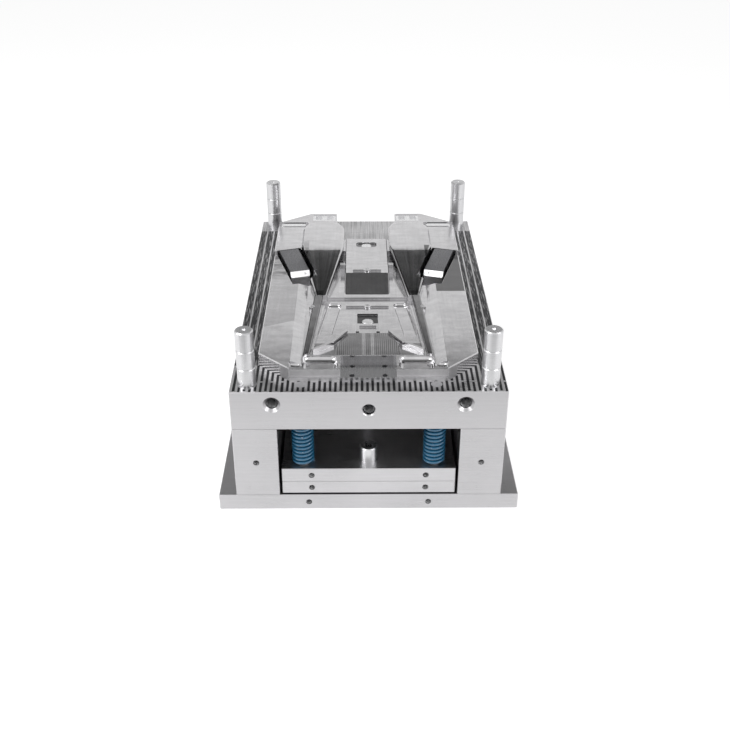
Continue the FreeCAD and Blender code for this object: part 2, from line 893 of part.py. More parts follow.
def plateau():
    """The raised centre with its long slope down to the lower floor."""
    top, foot = level(plateau_height), level(floor_height)
    body = form_block(-plateau_x, plateau_x, slope_foot_y, plateau_back_y, 0, plateau_height)
    outline = [FreeCAD.Vector(-core_half_width, form_y(slope_foot_y) - through, foot),
               FreeCAD.Vector(-core_half_width, form_y(plateau_front_y), top),
               FreeCAD.Vector(-core_half_width, form_y(plateau_front_y), top + through),
               FreeCAD.Vector(-core_half_width, form_y(slope_foot_y) - through, top + through)]
    wedge = Part.Face(Part.makePolygon(outline + outline[:1]))
    body = body.cut(wedge.extrude(FreeCAD.Vector(2 * core_half_width, 0, 0)))
    sides = [edge for edge in body.Edges if edge.BoundBox.ZMin > foot - through
             and edge.BoundBox.YLength > through and not across(edge)
             and edge.BoundBox.ZMax > foot + through]
    return body.makeFillet(rib_height, sides)


def lens_pad():
    """The fan-shaped pad in front, bulging on both sides."""
    y0, y1 = form_y(pad_front_y), form_y(pad_back_y)
    x0, x1 = form_x(pad_front_x), form_x(pad_back_x)
    mid_x, mid_y = (x0 + x1) / 2 + pad_bulge, (y0 + y1) / 2
    z = level(0)
    corner = [FreeCAD.Vector(x0, y0, z), FreeCAD.Vector(x1, y1, z),
              FreeCAD.Vector(-x1, y1, z), FreeCAD.Vector(-x0, y0, z)]
    right = Part.Arc(corner[0], FreeCAD.Vector(mid_x, mid_y, z), corner[1]).toShape()
    left = Part.Arc(corner[2], FreeCAD.Vector(-mid_x, mid_y, z), corner[3]).toShape()
    back = Part.makeLine(corner[1], corner[2])
    front = Part.makeLine(corner[3], corner[0])
    wire = Part.Wire([right, back, left, front])
    return Part.Face(wire).extrude(FreeCAD.Vector(0, 0, pad_height))


def border_rib():
    """The raised edge beside the pad, bent where it leaves the pad for the front corner of the form."""
    w = border_rib_width
    near = [(pad_back_x, pad_back_y), (border_rib_bend_x, border_rib_bend_y),
            (border_rib_end_x, border_rib_end_y)]
    far = [(x + w / 2, y + w) for x, y in reversed(near)]
    return prism(form_points(near + far), level(0), level(rim_height))


def bridge():
    """The short web that ties the dome to the plateau."""
    y = form_y(bridge_y)
    return block(form_x(bridge_inner_x), form_x(bridge_outer_x), y - bridge_width / 2, y + bridge_width / 2,
                 level(0), level(terrace_height))


def side_trough():
    """The rounded trough beside the ridge."""
    plan = form_points([(trough_back_inner_x, trough_back_y), (trough_back_outer_x, trough_back_y),
                        (trough_front_outer_x, trough_front_y), (trough_front_inner_x, trough_front_y)])
    tool = prism(plan, level(trough_height), level(dome_height))
    tool = tool.makeFillet(trough_corner_radius, [edge for edge in tool.Edges if vertical(edge)])
    floor = [edge for edge in tool.Edges if edge.BoundBox.ZMax < level(trough_height) + tiny]
    return tool.makeFillet(trough_floor_radius, floor)


def corner_pocket():
    """The shallow bowl in the front corner, with a rolled floor edge."""
    tool = form_block(pocket_inner_x, pocket_outer_x, pocket_front_y, pocket_back_y,
                      pocket_height, dome_height)
    tool = tool.makeFillet(pocket_corner_radius, [edge for edge in tool.Edges if vertical(edge)])
    floor = [edge for edge in tool.Edges if edge.BoundBox.ZMax < level(pocket_height) + tiny]
    return tool.makeFillet(pocket_floor_radius, floor)


def scoop():
    """The eye-shaped dimple where the bevel runs out."""
    ball = Part.makeSphere(1.0)
    matrix = FreeCAD.Matrix()
    matrix.scale(scoop_length, scoop_width, scoop_depth)
    shape = ball.transformGeometry(matrix)
    shape.translate(FreeCAD.Vector(form_x(scoop_x), form_y(scoop_y), level(flat_height)))
    return shape


def cross_rib(y, half_length_x, height):
    """A low rib across the form with a round boss at its middle."""
    bar = block(-form_x(half_length_x), form_x(half_length_x), form_y(y) - rib_width / 2,
                form_y(y) + rib_width / 2, level(0), level(height + rib_height))
    boss = rod(rib_boss_radius, 0, form_y(y), level(0), level(height + rib_height))
    return bar.fuse(boss)


def bracket():
    """The low three-sided frame in front of the gate."""
    outer = form_block(-bracket_half_width, bracket_half_width, bracket_front_y, bracket_bar_y,
                       0, floor_height + rib_height)
    x = form_x(bracket_half_width) - bracket_wall
    inner = block(-x, x, form_y(bracket_front_y) - through, form_y(bracket_bar_y) - bracket_wall,
                  level(floor_height), level(dome_height))
    return outer.cut(inner)


def raised_forms():
    forms = [plateau(), lens_pad(), bracket(), cross_rib(front_rib_y, front_rib_half_length, floor_height),
             cross_rib(rear_rib_y, rear_rib_half_length, plateau_height)]
    for shape in (dome(), ridge(), border_rib(), bridge()):
        forms += both_sides(shape)
    for x, y, height in ejector_pins_at():
        if x != 0:
            forms.append(rod(ejector_boss_radius, x, y, level(0), level(height)))
    return forms


def core_front_cuts():
    """The front edge: rim level, shelf for the wear plate and the stepped front wall."""
    x = front_corner_x
    rim = form_block(-x, x, -through, bevel_foot_front_y, rim_height, dome_height)
    shelf = form_block(-wear_plate_half_width, wear_plate_half_width, -through, wear_plate_back_y,
                       shelf_height, dome_height)
    step = block(-form_x(x) - through, form_x(x) + through, form_y(0) - through, form_y(0) + front_step_run,
                 level(front_step_height), level(dome_height))
    step = step.cut(form_block(-wear_plate_half_width, wear_plate_half_width,
                               -2 * through, front_step_run + through, 0, dome_height))
    return [rim, shelf, step]


def core_back_cuts():
    """Seats for the lock plates and grooves for the wear strips."""
    lock = form_block(lock_plate_inner_x, lock_plate_outer_x, lock_plate_front_y, lock_plate_back_y,
                      terrace_height - lock_plate_thickness - lock_plate_sink, dome_height)
    y, half = form_y(strip_y), strip_groove_width / 2
    groove = block(form_x(strip_inner_x) - strip_groove_lead, form_x(form_half_width) + through,
                   y - half, y + half, level(terrace_height - strip_groove_depth), level(dome_height))
    return both_sides(lock) + both_sides(groove)


def core_bores():
    bores = []
    for x, y in core_screws_at():
        bores.append(rod(core_screw_radius + thread_clearance, x, y, core_bottom - through,
                         core_bottom + core_screw_thread))
    for x, y, height in ejector_pins_at():
        bores.append(rod(ejector_pin_radius + running_clearance, x, y,
                         core_bottom - through, level(dome_height)))
    for y, height, depth in gate_seats():
        bores.append(rod(gate_radius + press_clearance, 0, form_y(y), level(height - depth - gate_depth),
                         level(dome_height)))
    return bores


def gate_seats():
    """For each gate insert: its place, the level around it and its pocket's depth."""
    return [(front_gate_y, floor_height, front_gate_pocket_depth),
            (rear_gate_y, plateau_height, rear_gate_pocket_depth)]


def gate_pockets():
    y = form_y(front_gate_y)
    x = form_x(front_gate_pocket_half_width)
    front = block(-x, x, y - front_gate_pocket_front, y + front_gate_pocket_back,
                  level(floor_height - front_gate_pocket_depth), level(dome_height))
    y = form_y(rear_gate_y)
    x = form_x(rear_gate_pocket_half_width)
    rear = block(-x, x, y - rear_gate_pocket_half_length, y + rear_gate_pocket_half_length,
                 level(plateau_height - rear_gate_pocket_depth), level(dome_height))
    rear = rear.makeFillet(rear_gate_pocket_corner_radius, [edge for edge in rear.Edges if vertical(edge)])
    return [front, rear]


def edge_broken(body):
    """The insert's block with its long upper edges chamfered."""
    edges = [edge for edge in body.Edges if edge.BoundBox.ZMin > level(flat_height) - tiny
             and not vertical(edge) and not across(edge)]
    return body.makeChamfer(core_edge_chamfer, edges)


def core_insert():
    body = prism(core_outline(), core_bottom, level(terrace_height))
    flats = form_block(-form_half_width - through, form_half_width + through, -through, terrace_front_y,
                       flat_height, dome_height)
    body = edge_broken(body.cut(flats))
    body = body.cut([form_hollow(), centre_floor()] + both_sides(side_trough()))
    body = body.fuse(raised_forms())
    cuts = core_front_cuts() + core_back_cuts() + gate_pockets() + core_bores()
    for tool in (corner_pocket(), scoop(), lifter_pocket(), lifter_rod_bore()):
        cuts += both_sides(tool)
    body = body.cut(cuts)
    return body.removeSplitter()


def gate_insert(y, height, depth):
    """A round insert with a broken edge, standing slightly proud of its pocket."""
    bottom, top = level(height - depth - gate_depth), level(height - depth + gate_proud)
    disc = rod(gate_radius, 0, form_y(y), bottom, top)
    rim = [edge for edge in disc.Edges if edge.BoundBox.ZMin > top - tiny]
    return disc.makeChamfer(gate_edge_chamfer, rim)


def wear_plate():
    """The plate on the front shelf, flush with the insert's front, with four screw holes."""
    plate = form_block(-wear_plate_half_width, wear_plate_half_width, 0, wear_plate_back_y,
                       shelf_height, shelf_height + wear_plate_thickness)
    holes = [rod(wear_screw_radius + screw_clearance, x, y, level(shelf_height) - through,
                 level(shelf_height + wear_plate_thickness) + through) for x, y in wear_screws_at()]
    heads = [rod(head_radius_ratio * wear_screw_radius + screw_clearance, x, y,
                 level(shelf_height + wear_plate_thickness / 2),
                 level(shelf_height + wear_plate_thickness) + through) for x, y in wear_screws_at()]
    return plate.cut(holes + heads)


def wear_plate_screws():
    screws = []
    for x, y in wear_screws_at():
        seat = level(shelf_height + wear_plate_thickness / 2)
        head = rod(head_radius_ratio * wear_screw_radius, x, y, seat, seat + wear_screw_head_height)
        shank = rod(wear_screw_radius, x, y, level(shelf_height), seat)
        screws.append(head.fuse(shank).removeSplitter())
    return screws


def lock_plate():
    """The right-hand lock plate: a sunk block with two slots in its top."""
    top = terrace_height - lock_plate_sink
    plate = form_block(lock_plate_inner_x, lock_plate_outer_x, lock_plate_front_y, lock_plate_back_y,
                       top - lock_plate_thickness, top)
    x = form_x((lock_plate_inner_x + lock_plate_outer_x) / 2)
    y = form_y((lock_plate_front_y + lock_plate_back_y) / 2)
    slots = []
    for sx in (-1, 1):
        middle = x + sx * form_x(lock_plate_outer_x - lock_plate_inner_x) / 4
        slots.append(block(middle - lock_slot_width / 2, middle + lock_slot_width / 2,
                           y - lock_slot_length / 2, y + lock_slot_length / 2,
                           level(top - lock_slot_depth), level(top) + through))
    return plate.cut(slots)


def wear_strip():
    """The right-hand wear strip in its groove, with round ends."""
    bottom = level(terrace_height - strip_groove_depth)
    y = form_y(strip_y)
    strip = block(form_x(strip_inner_x), form_x(strip_outer_x), y - strip_width / 2, y + strip_width / 2,
                  bottom, bottom + strip_thickness)
    return strip.makeFillet(strip_end_ratio * strip_width, [edge for edge in strip.Edges if vertical(edge)])


# ---- lifters, drawn on their own centreline and then turned and moved to their place
def placed_lifter(shape):
    """Moves a shape from the lifter's own frame to the right-hand side of the core.

    In that frame the block's front edge lies on X, its length runs along +Y and Z is absolute.
    """
    moved = shape.copy()
    moved.rotate(FreeCAD.Vector(0, 0, 0), FreeCAD.Vector(0, 0, 1), -lifter_turn)
    moved.translate(FreeCAD.Vector(form_x(lifter_front_x), form_y(lifter_front_y), 0))
    return moved


def lifter_block():
    half, bottom = lifter_width / 2, level(lifter_bottom)
    body = block(-half, half, 0, lifter_length, bottom, level(lifter_rear_height))
    nose_foot, nose_top = level(lifter_front_height) - lifter_nose_drop, level(lifter_front_height)
    side = [(0, nose_foot), (lifter_nose_run, nose_top), (lifter_length, level(lifter_rear_height)),
            (lifter_length, level(dome_height)), (-through, level(dome_height)), (-through, nose_foot)]
    outline = [FreeCAD.Vector(-half - through, y, z) for y, z in side]
    above = Part.Face(Part.makePolygon(outline + outline[:1]))
    body = body.cut(above.extrude(FreeCAD.Vector(lifter_width + 2 * through, 0, 0)))
    body = body.makeFillet(lifter_corner_radius, [edge for edge in body.Edges if vertical(edge)])
    mark = FreeCAD.Vector(-half / 2, lifter_nose_run / 2, (nose_foot + nose_top) / 2)
    inward = FreeCAD.Vector(0, lifter_nose_drop, -lifter_nose_run)
    return body.cut(Part.makeCylinder(lifter_eject_hole_radius, lifter_eject_hole_depth, mark, inward))


def lifter_pocket():
    """The hollow around the right-hand lifter block, with room in front of its nose."""
    half = lifter_width / 2 + lifter_side_gap
    hollow = block(-half, half, -lifter_nose_room, lifter_length + lifter_rear_gap,
                   level(lifter_bottom) - lifter_seat_gap, level(dome_height))
    return placed_lifter(hollow)


def inclined_rod(radius, z0, z1):
    """A round rod along the lifter's axis, cut level at z0 and z1."""
    tilt = math.tan(math.radians(lifter_tilt))
    x, y, top = -lifter_rod_side_offset, lifter_rod_back_offset, level(lifter_bottom)
    low, high = z0 - 2 * radius, z1 + 2 * radius
    start = FreeCAD.Vector(x, y + (top - low) * tilt, low)
    end = FreeCAD.Vector(x, y + (top - high) * tilt, high)
    full = Part.makeCylinder(radius, start.distanceToPoint(end), start, end - start)
    reach = lifter_length + base_width
    return full.common(block(-reach, reach, -reach, reach, z0, z1))


def foot_top():
    return retainer_bottom + shoe_base + foot_clearance + foot_height


def foot_centre_y():
    """Where the rod's axis meets the middle of the foot."""
    drop = level(lifter_bottom) - foot_top() + foot_height / 2
    return lifter_rod_back_offset + drop * math.tan(math.radians(lifter_tilt))


def lifter_rod():
    return inclined_rod(lifter_rod_radius, foot_top(), level(lifter_bottom))


def lifter_rod_bore():
    return placed_lifter(inclined_rod(lifter_rod_radius + running_clearance, spacer_top - through,
                                      level(lifter_bottom) + through))


def lifter_foot():
    x, y = -lifter_rod_side_offset, foot_centre_y()
    return block(x - foot_width / 2, x + foot_width / 2, y - foot_length / 2, y + foot_length / 2,
                 foot_top() - foot_height, foot_top())


def shoe_centre_y():
    """The shoe is centred on the foot's travel along it."""
    return foot_centre_y() - ejection_stroke * math.tan(math.radians(lifter_tilt)) / 2


def shoe_block(grow, z0, z1):
    x, y = -lifter_rod_side_offset, shoe_centre_y()
    half_x, half_y = shoe_width / 2 + grow, shoe_length / 2 + grow
    return block(x - half_x, x + half_x, y - half_y, y + half_y, z0, z1)


def shoe_pocket():
    return placed_lifter(shoe_block(shoe_pocket_clearance, retainer_bottom - through,
                                    retainer_top + through))


def lifter_shoe():
    """The guide on the ejector plate whose T slot carries the lifter's foot."""
    slot_top = foot_top() + foot_clearance
    body = shoe_block(0, retainer_bottom, slot_top + shoe_lip)
    x, reach = -lifter_rod_side_offset, lifter_length + base_width
    half = foot_width / 2 + foot_clearance
    slot = block(x - half, x + half, -reach, reach, retainer_bottom + shoe_base, slot_top)
    neck_half = lifter_rod_radius + screw_clearance
    neck = block(x - neck_half, x + neck_half, -reach, reach,
                 slot_top - through, slot_top + shoe_lip + through)
    return body.cut([slot, neck])


# ---- everything
def main():
    os.makedirs("parts", exist_ok=True)
    save("clamp_plate", [clamp_plate()])
    save("spacer_block_right", [spacer_block()])
    save("spacer_block_left", [mirrored(spacer_block())])
    save("clamp_screws", clamp_screws())
    save("stop_buttons", stop_buttons())
    save("support_pillars", support_pillars())
    save("support_pillar_screws", pillar_screws())
    save("ejector_guide_pins", ejector_guide_pins())
    save("ejector_guide_bushes", ejector_guide_bushes())
    save("ejector_plate", [ejector_plate()])
    save("ejector_retainer_plate", [ejector_retainer_plate()])
    save("ejector_plate_screws", ejector_plate_screws())
    save("return_pins", return_pins())
    save("return_springs", return_springs())
    save("limit_posts", limit_posts())
    save("limit_post_screws", limit_post_screws())
    save("ejector_pins", ejector_pins())
    save("b_plate", [b_plate()])
    save("guide_pins", guide_pins())
    save("core_insert", [core_insert()])
    save("core_insert_screws", core_screws())
    save("front_gate_insert", [gate_insert(*gate_seats()[0])])
    save("rear_gate_insert", [gate_insert(*gate_seats()[1])])
    save("front_wear_plate", [wear_plate()])
    save("front_wear_plate_screws", wear_plate_screws())
    for name, shape in (("rear_lock_plate", lock_plate()), ("rear_wear_strip", wear_strip()),
                        ("lifter_block", placed_lifter(lifter_block())),
                        ("lifter_rod", placed_lifter(lifter_rod())),
                        ("lifter_foot", placed_lifter(lifter_foot())),
                        ("lifter_shoe", placed_lifter(lifter_shoe()))):
        save(name + "_right", [shape])
        save(name + "_left", [mirrored(shape)])


main()
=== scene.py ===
import json
import math

import bpy
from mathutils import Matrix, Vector


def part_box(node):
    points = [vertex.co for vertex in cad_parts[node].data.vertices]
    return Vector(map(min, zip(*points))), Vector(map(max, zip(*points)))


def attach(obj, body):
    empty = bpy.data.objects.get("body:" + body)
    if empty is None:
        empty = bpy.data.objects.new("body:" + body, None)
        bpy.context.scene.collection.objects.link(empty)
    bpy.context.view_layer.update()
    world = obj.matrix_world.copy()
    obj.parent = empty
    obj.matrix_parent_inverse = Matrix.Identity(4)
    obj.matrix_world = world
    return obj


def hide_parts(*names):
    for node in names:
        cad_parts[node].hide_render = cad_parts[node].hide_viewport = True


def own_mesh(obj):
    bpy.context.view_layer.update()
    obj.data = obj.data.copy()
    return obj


# Looks for the moving half of an injection mould: ground plates, a milled B plate, a polished core
# insert, blue return springs and bright guide pins. Everything is in metres, in the CAD frame.

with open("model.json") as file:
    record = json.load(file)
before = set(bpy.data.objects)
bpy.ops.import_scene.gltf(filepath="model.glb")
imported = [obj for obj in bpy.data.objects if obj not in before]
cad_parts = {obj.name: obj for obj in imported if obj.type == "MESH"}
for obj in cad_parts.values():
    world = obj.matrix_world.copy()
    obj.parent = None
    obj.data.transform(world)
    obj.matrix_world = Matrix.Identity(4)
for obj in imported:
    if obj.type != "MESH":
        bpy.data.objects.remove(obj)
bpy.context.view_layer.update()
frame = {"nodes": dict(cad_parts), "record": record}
nodes = frame["nodes"]

# ---- camera
camera_place = (-0.0208, -2.3155, 1.4616)
camera_turn = 0.0068
camera_dip = 0.5308
camera_lens = 50.09
camera_sensor = 36.0
camera_reach = 60

# ---- places read from the frame
plate_low, plate_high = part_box("b_plate")
core_low, core_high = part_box("core_insert")
spring_low, spring_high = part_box("return_springs")
plate_top = plate_high.z

# ---- colours, as linear values
ground_colour = (0.47, 0.465, 0.475)
ejector_colour = (0.50, 0.495, 0.505)
core_colour = (0.56, 0.555, 0.565)
# stripe colours: the cutter lines are real, their near-black and bright tones are painted reflection
stripe_painted_dark = (0.03, 0.03, 0.033)
stripe_painted_light = (0.72, 0.715, 0.725)
# painted highlight along sharp edges; also the bare metal in the chips of the spring paint
highlight_and_chip_colour = (0.78, 0.78, 0.79)
# painted highlight on the lifters' faces that turn to the front
nose_highlight_colour = (0.92, 0.92, 0.93)
insert_colour = (0.80, 0.80, 0.81)
wear_colour = (0.42, 0.42, 0.43)
lifter_colour = (0.2, 0.2, 0.21)
pin_colour = (0.58, 0.58, 0.59)
post_colour = (0.62, 0.62, 0.63)
screw_colour = (0.05, 0.05, 0.055)
# painted shade inside the tapped holes
thread_shade_colour = (0.02, 0.02, 0.022)
bronze_colour = (0.55, 0.36, 0.16)
spring_deep = (0.012, 0.085, 0.17)
spring_pale = (0.03, 0.17, 0.30)

# ---- relief of the finishes, in metres
ground_relief = 0.00002
turned_relief = 0.000001
lacquer_relief = 0.0001
core_relief = 0.0006
core_line_share = 0.02
plate_edge_radius = 0.0010
core_edge_radius = 0.0012

# ---- milling marks on the B plate, with their light and dark painted as reflection; an edge is the share of a pitch where light turns dark
stripe_pitch = 0.0115
stripe_wander = 0.0009
link_length = 0.005
front_stripe_end = -0.361
line_edge = (0.20, 0.30)
side_band_width = 0.0187
side_line_edge = (0.06, 0.12)
back_zone_depth = 0.02
middle_half_width = 0.09

# ---- zones of painted shade on the core insert, in metres from the plate's centre; heights are above the plate's top,
# levels multiply the brightness, facings are parts of the face's direction
flat_inner_x = 0.152
flat_facing = (0.985, 0.995)
flat_back = 0.165
right_dark_front = -0.054
right_dark_level = 0.22
left_grey_front = -0.130
left_grey_back = 0.265
left_grey_slant = -0.45
left_grey_level = 0.78
left_dark_front = 0.030
left_dark_level = 0.35
zone_fade = 0.02
dome_tip = (0.113, -0.084)
dome_brow_y = 0.140
dome_sides = (0.055, 0.16)
dome_height = 0.0345
fan_centre_y = -0.134
fan_lines = 14.0
fan_levels = (0.35, 1.0)
slope_facing = (-0.2, -0.3)
slope_half_width = 0.056
slope_level = 0.7
slope_line_levels = (0.915, 1.053)
pad_back_y = -0.246
pad_front_y = -0.355
pad_half_width = 0.085
pad_heights = (0.0185, 0.0195)
pad_stripe_pitch = 0.0046
pad_line_levels = (0.28, 0.62)
pad_guide_x = 0.010
pad_guide_width = 0.004
pad_guide_gain = 0.3
ridge_back_x = 0.118
ridge_back_y = -0.063
ridge_front_y = -0.369
ridge_lean = 0.0686
ridge_half_width = 0.0115
ridge_height = 0.0265
ridge_level = 0.42
core_rough = 0.17
front_wall_rough = 0.5
front_wall_depth = 0.02
floor_tolerance = 0.0008
# floors with painted shade, in the pockets and in front of each border rib
# side from, side to, y from, y to, height above the plate, brightness
painted_shade_floors = (
    (-0.001, 0.025, -0.194, -0.144, 0.011, 0.12),
    (-0.001, 0.027, 0.180, 0.210, 0.044, 0.30),
    (0.070, 0.140, -0.355, -0.290, 0.016, 0.50),
)

# ---- threads; steps are per turn, and the depth share is the part of a pitch from root to crest
thread_steps = 24
lift_pitch = 0.003
small_pitch = 0.002
small_radius = 0.007
small_depth = 0.024
lift_hole_depth = 0.054
ejector_hole_x = 0.128
clamp_hole_x = 0.1357
thread_depth_share = 0.61
wall_gap = 0.00005

# ---- return springs; steps are per turn, and the wire share is the part of a turn's height it fills
spring_outer = 0.025
spring_inner = 0.0132
spring_turns = 13
spring_steps = 48
spring_wire_share = 0.53
spring_wire_corner = 0.0012
smooth_angle = 40

# ---- stage and lights
floor_size = 14
floor_level = 0.8
floor_glow = 0.5
world_light = 0.55
world_shown = 1.0
lamp_target = (0, 0, 0.25)
# name, place, size, power in watts
lamps = (
    ("key", (-2.2, -1.2, 2.6), 1.6, 60),
    ("fill", (2.4, -1.6, 1.8), 1.8, 30),
)
# name, centre, size along x, size along y, turn about x, brightness
cards = (
    ("ceiling_card", (0, 2.4, 2.6), 4.4, 2.2, 0, 0.02),
    ("zenith_card", (0, 0.15, 2.6), 4.4, 2.3, 0, 0.3),
    ("left_card", (-1.75, 3.4, 1.5), 0.9, 1.8, math.pi / 2, 0.02),
    ("front_card", (0, -1.85, 0.01), 3.0, 1.5, 0, 0.5),
)


# ---- node helpers
class Finish:
    """A Principled material and short calls for the nodes that feed it."""

    def __init__(self, name, metallic=1.0):
        self.material = bpy.data.materials.new(name)
        self.material.use_nodes = True
        self.tree = self.material.node_tree
        self.shader = self.tree.nodes["Principled BSDF"]
        self.shader.inputs["Metallic"].default_value = metallic
        place = self.tree.nodes.new("ShaderNodeTexCoord")
        self.place = place.outputs["Object"]
        self.facing = self.split(place.outputs["Normal"])
        self.x, self.y, self.z = self.split(self.place)

    def feed(self, socket, value):
        if isinstance(value, bpy.types.NodeSocket):
            self.tree.links.new(value, socket)
        elif socket.type == "RGBA":
            socket.default_value = (*value, 1.0)
        else:
            socket.default_value = value

    def split(self, vector):
        node = self.tree.nodes.new("ShaderNodeSeparateXYZ")
        self.feed(node.inputs[0], vector)
        return tuple(node.outputs)

    def join(self, x, y, z):
        node = self.tree.nodes.new("ShaderNodeCombineXYZ")
        for socket, value in zip(node.inputs, (x, y, z)):
            self.feed(socket, value)
        return node.outputs[0]

    def calc(self, operation, *values):
        node = self.tree.nodes.new("ShaderNodeMath")
        node.operation = operation
        for socket, value in zip(node.inputs, values):
            self.feed(socket, value)
        return node.outputs[0]

    def stretched(self, scale):
        """Object coordinates multiplied axis by axis."""
        node = self.tree.nodes.new("ShaderNodeMapping")
        self.feed(node.inputs["Vector"], self.place)
        node.inputs["Scale"].default_value = scale
        return node.outputs[0]

    def noise_at(self, vector, detail, roughness):
        """Noise from about 0 to 1 at a point that is given in cycles."""
        node = self.tree.nodes.new("ShaderNodeTexNoise")
        self.feed(node.inputs["Vector"], vector)
        node.inputs["Scale"].default_value = 1.0
        node.inputs["Detail"].default_value = detail
        node.inputs["Roughness"].default_value = roughness
        return node.outputs["Fac"]

    def noise(self, scale, detail=3.0, roughness=0.55):
        """Noise from about 0 to 1; scale is in cycles per metre along each axis."""
        return self.noise_at(self.stretched(scale), detail, roughness)

    def span(self, value, low, high, to_low=0.0, to_high=1.0):
        """Maps low..high to to_low..to_high, held at both ends."""
        node = self.tree.nodes.new("ShaderNodeMapRange")
        for name, number in zip(("Value", "From Min", "From Max", "To Min", "To Max"),
                                (value, low, high, to_low, to_high)):
            self.feed(node.inputs[name], number)
        return node.outputs["Result"]

    def blend(self, factor, first, second):
        node = self.tree.nodes.new("ShaderNodeMix")
        node.data_type = "RGBA"
        self.feed(node.inputs["Factor"], factor)
        self.feed(node.inputs[6], first)
        self.feed(node.inputs[7], second)
        return node.outputs[2]

    def bump(self, height, distance):
        node = self.tree.nodes.new("ShaderNodeBump")
        node.inputs["Strength"].default_value = 1.0
        node.inputs["Distance"].default_value = distance
        self.feed(node.inputs["Height"], height)
        self.feed(self.shader.inputs["Normal"], node.outputs[0])

    def edge_highlight_mask(self, radius):
        """Near 1 along sharp outer edges, where a highlight is painted."""
        node = self.tree.nodes.new("ShaderNodeBevel")
        node.samples = 4
        node.inputs["Radius"].default_value = radius
        geometry = self.tree.nodes.new("ShaderNodeNewGeometry")
        dot = self.tree.nodes.new("ShaderNodeVectorMath")
        dot.operation = "DOT_PRODUCT"
        self.feed(dot.inputs[0], node.outputs[0])
        self.feed(dot.inputs[1], geometry.outputs["Normal"])
        return self.span(dot.outputs["Value"], 0.98, 0.85, 0.0, 1.0)

    def upward(self):
        return self.calc("GREATER_THAN", self.facing[2], 0.9)

    def colour(self, value):
        self.feed(self.shader.inputs["Base Color"], value)

    def roughness(self, value):
        self.feed(self.shader.inputs["Roughness"], value)


def scaled(steel, colour, tone):
    """A colour multiplied by a number."""
    node = steel.tree.nodes.new("ShaderNodeVectorMath")
    node.operation = "SCALE"
    steel.feed(node.inputs[0], colour)
    steel.feed(node.inputs["Scale"], tone)
    return node.outputs[0]


def every(steel, mask, *others):
    """1 where all the masks are 1."""
    for other in others:
        mask = steel.calc("MULTIPLY", mask, other)
    return mask


def ground(name, colour, rough=0.32, along="x", streaks=0.04):
    """Surface-ground steel: fine lines one way, slow mottling and a painted highlight along the edges.
    """
    steel = Finish(name)
    fine = {"x": (18, 900, 900), "y": (900, 18, 900), "z": (900, 900, 18)}[along]
    broad = {"x": (4, 160, 160), "y": (160, 4, 160), "z": (160, 160, 4)}[along]
    lines = steel.noise(fine, 4.0)
    bands = steel.noise(broad, 2.0)
    cloud = steel.noise((7, 7, 7), 4.0)
    tone = steel.calc("ADD", steel.span(lines, 0.3, 0.7, 1 - streaks, 1 + streaks),
                      steel.span(bands, 0.3, 0.7, -streaks / 2, streaks / 2))
    tone = steel.calc("MULTIPLY", tone, steel.span(cloud, 0.3, 0.7, 0.94, 1.05))
    steel.base = scaled(steel, colour, tone)
    steel.lines = lines
    # painted highlight along the sharp edges
    steel.colour(steel.blend(steel.edge_highlight_mask(plate_edge_radius), steel.base, highlight_and_chip_colour))
    steel.roughness(steel.calc("ADD", steel.span(lines, 0.3, 0.7, rough - 0.05, rough + 0.06),
                               steel.span(cloud, 0.35, 0.65, -0.04, 0.05)))
    steel.bump(lines, ground_relief)
    return steel


def turned(name, colour, rough=0.24):
    """Round-ground steel: fine rings about the vertical axis and a few lengthwise rubs."""
    steel = Finish(name)
    rings = steel.noise((40, 40, 1500), 3.0)
    rubs = steel.noise((160, 160, 12), 3.0)
    cloud = steel.noise((30, 30, 14), 3.0)
    tone = steel.calc("MULTIPLY", steel.span(rings, 0.3, 0.7, 0.93, 1.06),
                      steel.span(rubs, 0.55, 0.8, 1.0, 0.78))
    steel.colour(scaled(steel, colour, tone))
    steel.roughness(steel.calc("ADD", steel.span(rings, 0.3, 0.7, rough - 0.04, rough + 0.06),
                               steel.span(cloud, 0.35, 0.65, -0.04, 0.06)))
    steel.bump(rings, turned_relief)
    return steel


def paint(finish, *names):
    """Gives CAD nodes their finish."""
    for name in names:
        mesh = nodes[name].data
        mesh.materials.clear()
        mesh.materials.append(finish.material)


# ---- B plate: milled top, its stripes partly painted reflection
def front_comb(steel):
    """1 on the cutter lines in front of the core and on the links that join them in turn."""
    jitter = steel.calc("MULTIPLY", steel.calc("SUBTRACT", steel.noise((60, 14, 60), 2.0), 0.5),
                        2 * stripe_wander)
    cell = steel.calc("DIVIDE", steel.calc("ADD", steel.x, jitter), stripe_pitch)
    part = steel.calc("SUBTRACT", steel.calc("FRACT", cell), 0.25)
    lines = steel.span(steel.calc("PINGPONG", part, 0.5), *line_edge, 1.0, 0.0)
    half_count = steel.calc("MULTIPLY", steel.calc("FLOOR", cell), 0.5)
    even = steel.calc("LESS_THAN", steel.calc("FRACT", half_count), 0.25)
    odd = steel.calc("SUBTRACT", 1.0, even)
    at_front = steel.calc("LESS_THAN", steel.y, plate_low.y + link_length)
    at_core = every(steel, steel.calc("GREATER_THAN", steel.y, core_low.y - link_length),
                    steel.calc("LESS_THAN", steel.y, core_low.y))
    links = steel.calc("MAXIMUM", every(steel, at_front, even), every(steel, at_core, odd))
    return steel.calc("MAXIMUM", lines, links)


def side_bands(steel, side):
    """1 on the thin lines beside the core, and part of it on flecks between them."""
    from_core = steel.calc("SUBTRACT", side, core_high.x)
    band = steel.calc("FRACT", steel.calc("DIVIDE", from_core, side_band_width))
    lines = steel.span(steel.calc("PINGPONG", band, 0.5), *side_line_edge, 1.0, 0.0)
    flecks = steel.span(steel.noise((420, 24, 60), 3.0), 0.52, 0.62, 0.0, 0.5)
    return steel.calc("MAXIMUM", lines, flecks)


